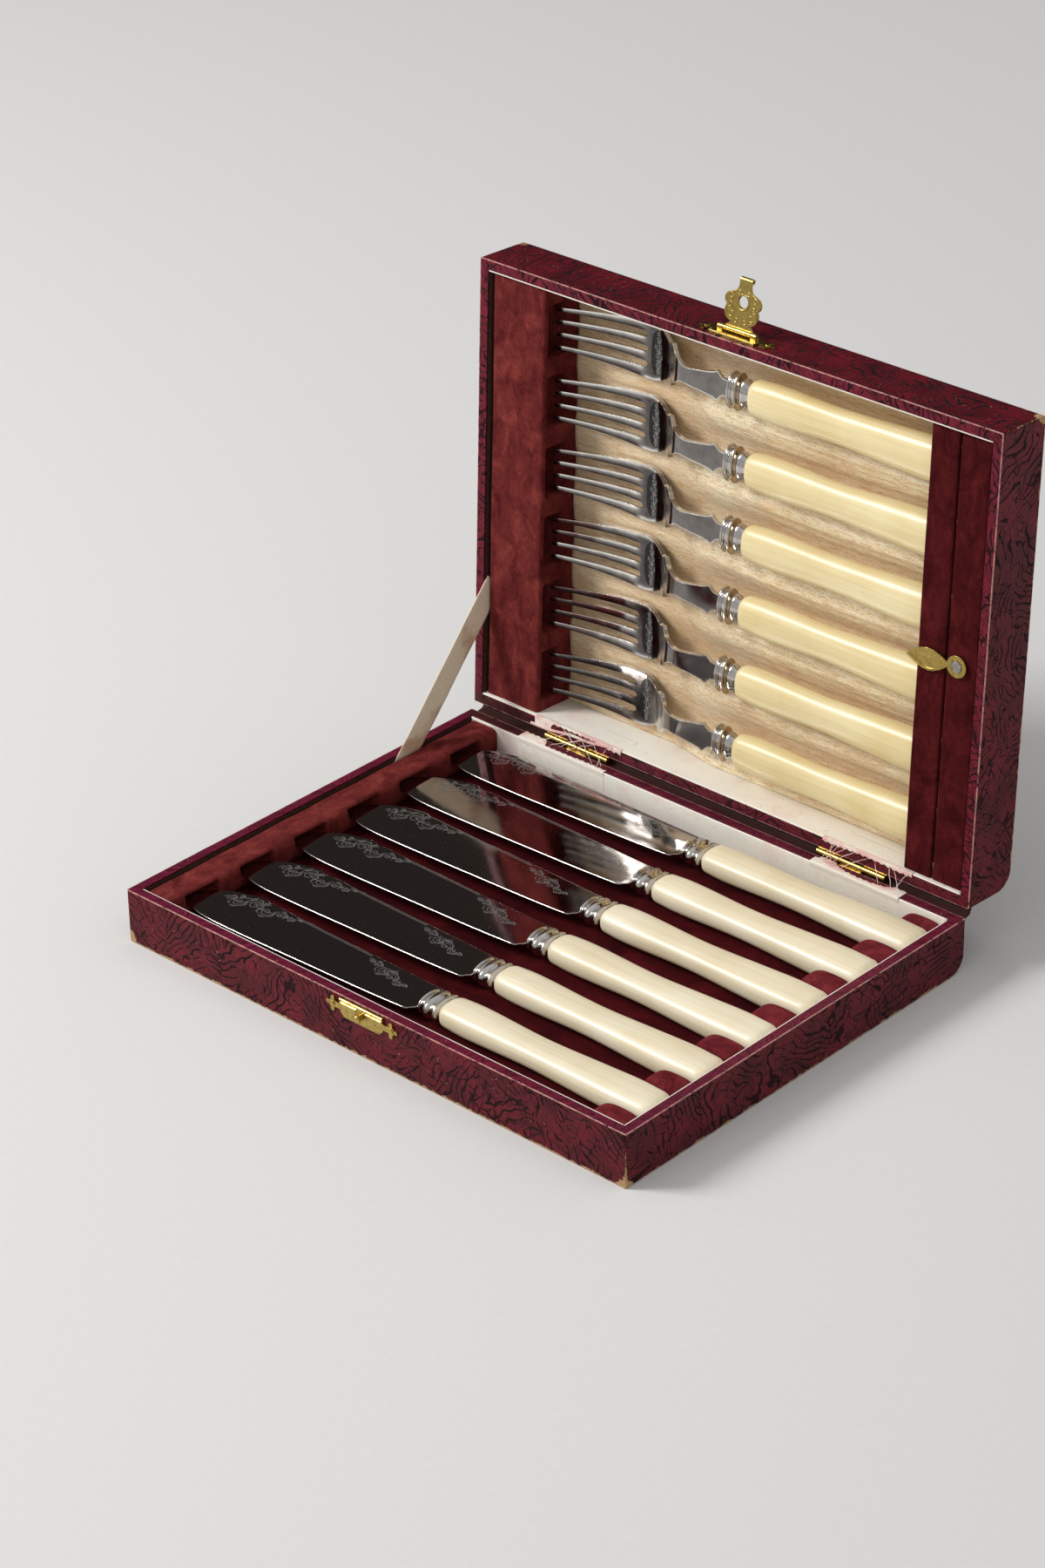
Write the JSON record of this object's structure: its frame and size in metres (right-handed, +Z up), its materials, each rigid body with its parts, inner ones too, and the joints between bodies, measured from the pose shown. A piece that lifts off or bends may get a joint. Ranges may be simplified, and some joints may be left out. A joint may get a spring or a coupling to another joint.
{
  "type": "cased fish cutlery set",
  "caption": "Hinged wooden case covered in leatherette, lined with velvet and satin, holding fish knives in its tray and fish forks in its lid, with hasp and turn button.",
  "frame": {"origin": "centre of the base's underside", "axes": "+X to the right along the case, +Y from the front to the hinge, +Z up; the lid stands open"},
  "size_m": [0.23, 0.2112, 0.2164],
  "materials": {
    "case_wood": "thin sawn softwood board, bare",
    "leatherette": "wine-coloured grained leatherette, crazed and worn to buff at the corners",
    "lining_sateen": "cream cotton sateen, stained",
    "velvet": "short crimson velvet over board",
    "satin": "puffed cream satin",
    "ribbon": "buff woven tape",
    "brass": "stamped brass, dulled",
    "steel": "plain steel",
    "silver_plate": "polished silver plate, engraved scrolls on the blades",
    "handle_cream": "smooth cream imitation ivory"
  },
  "bodies": {
    "base": {"base_carcass": "case_wood", "base_bottom_board": "case_wood", "base_leatherette": "leatherette", "base_lining": "lining_sateen", "base_velvet_bed": "velvet", "base_tip_rack": "velvet", "base_handle_pads": "velvet", "catch_plate": "brass", "catch_stud": "brass", "catch_pins": "brass", "hinge_base_leaves": "brass", "hinge_pins": "steel", "spine_leatherette": "leatherette", "stay_ribbon": "ribbon"},
    "lid": {"lid_carcass": "case_wood", "lid_top_board": "case_wood", "lid_leatherette": "leatherette", "lid_lining": "lining_sateen", "lid_satin": "satin", "lid_tine_rack": "velvet", "lid_handle_block": "velvet", "retainer_flap": "velvet", "hinge_lid_leaves": "brass", "hasp_plate": "brass", "hasp_plate_pins": "brass", "hasp_hinge_pin": "steel", "turn_button_screw": "steel", "fork_ferrules": "silver_plate", "fork_1": "silver_plate", "fork_1_handle": "handle_cream", "fork_2": "silver_plate", "fork_2_handle": "handle_cream", "fork_3": "silver_plate", "fork_3_handle": "handle_cream", "fork_4": "silver_plate", "fork_4_handle": "handle_cream", "fork_5": "silver_plate", "fork_5_handle": "handle_cream", "fork_6": "silver_plate", "fork_6_handle": "handle_cream"},
    "hasp": {"hasp_flap": "brass"},
    "turn_button": {"turn_button": "brass"},
    "knife_1": {"knife_1_blade": "silver_plate", "knife_1_ferrule": "silver_plate", "knife_1_handle": "handle_cream"},
    "knife_2": {"knife_2_blade": "silver_plate", "knife_2_ferrule": "silver_plate", "knife_2_handle": "handle_cream"},
    "knife_3": {"knife_3_blade": "silver_plate", "knife_3_ferrule": "silver_plate", "knife_3_handle": "handle_cream"},
    "knife_4": {"knife_4_blade": "silver_plate", "knife_4_ferrule": "silver_plate", "knife_4_handle": "handle_cream"},
    "knife_5": {"knife_5_blade": "silver_plate", "knife_5_ferrule": "silver_plate", "knife_5_handle": "handle_cream"},
    "knife_6": {"knife_6_blade": "silver_plate", "knife_6_ferrule": "silver_plate", "knife_6_handle": "handle_cream"}
  },
  "joints": [
    {"name": "lid_hinge", "type": "hinge", "parent": "base", "child": "lid", "pos_m": [0, 0.08875, 0.0215], "axis": [-1, 0, 0], "range_deg": [-93, 0], "deforming": ["spine_leatherette", "stay_ribbon"]},
    {"name": "hasp_hinge", "type": "hinge", "parent": "lid", "child": "hasp", "pos_m": [-0.0008, 0.10285, 0.19875], "axis": [-1, 0, 0], "range_deg": [-100, 70]},
    {"name": "button_turn", "type": "hinge", "parent": "lid", "child": "turn_button", "pos_m": [0.1025, 0.09468, 0.10986], "axis": [0, -0.9986, 0.0523], "range_deg": [-90, 90]},
    {"name": "knife_1_lift", "type": "hinge", "parent": "base", "child": "knife_1", "pos_m": [-0.1038, -0.0644, 0.0146], "axis": [0, -1, 0], "range_deg": [0, 12]},
    {"name": "knife_2_lift", "type": "hinge", "parent": "base", "child": "knife_2", "pos_m": [-0.1038, -0.0378, 0.0146], "axis": [0, -1, 0], "range_deg": [0, 12]},
    {"name": "knife_3_lift", "type": "hinge", "parent": "base", "child": "knife_3", "pos_m": [-0.1038, -0.0112, 0.0146], "axis": [0, -1, 0], "range_deg": [0, 12]},
    {"name": "knife_4_lift", "type": "hinge", "parent": "base", "child": "knife_4", "pos_m": [-0.1038, 0.0154, 0.0146], "axis": [0, -1, 0], "range_deg": [0, 12]},
    {"name": "knife_5_lift", "type": "hinge", "parent": "base", "child": "knife_5", "pos_m": [-0.1038, 0.042, 0.0146], "axis": [0, -1, 0], "range_deg": [0, 12]},
    {"name": "knife_6_lift", "type": "hinge", "parent": "base", "child": "knife_6", "pos_m": [-0.1038, 0.0686, 0.0146], "axis": [0, -1, 0], "range_deg": [0, 12]}
  ]
}
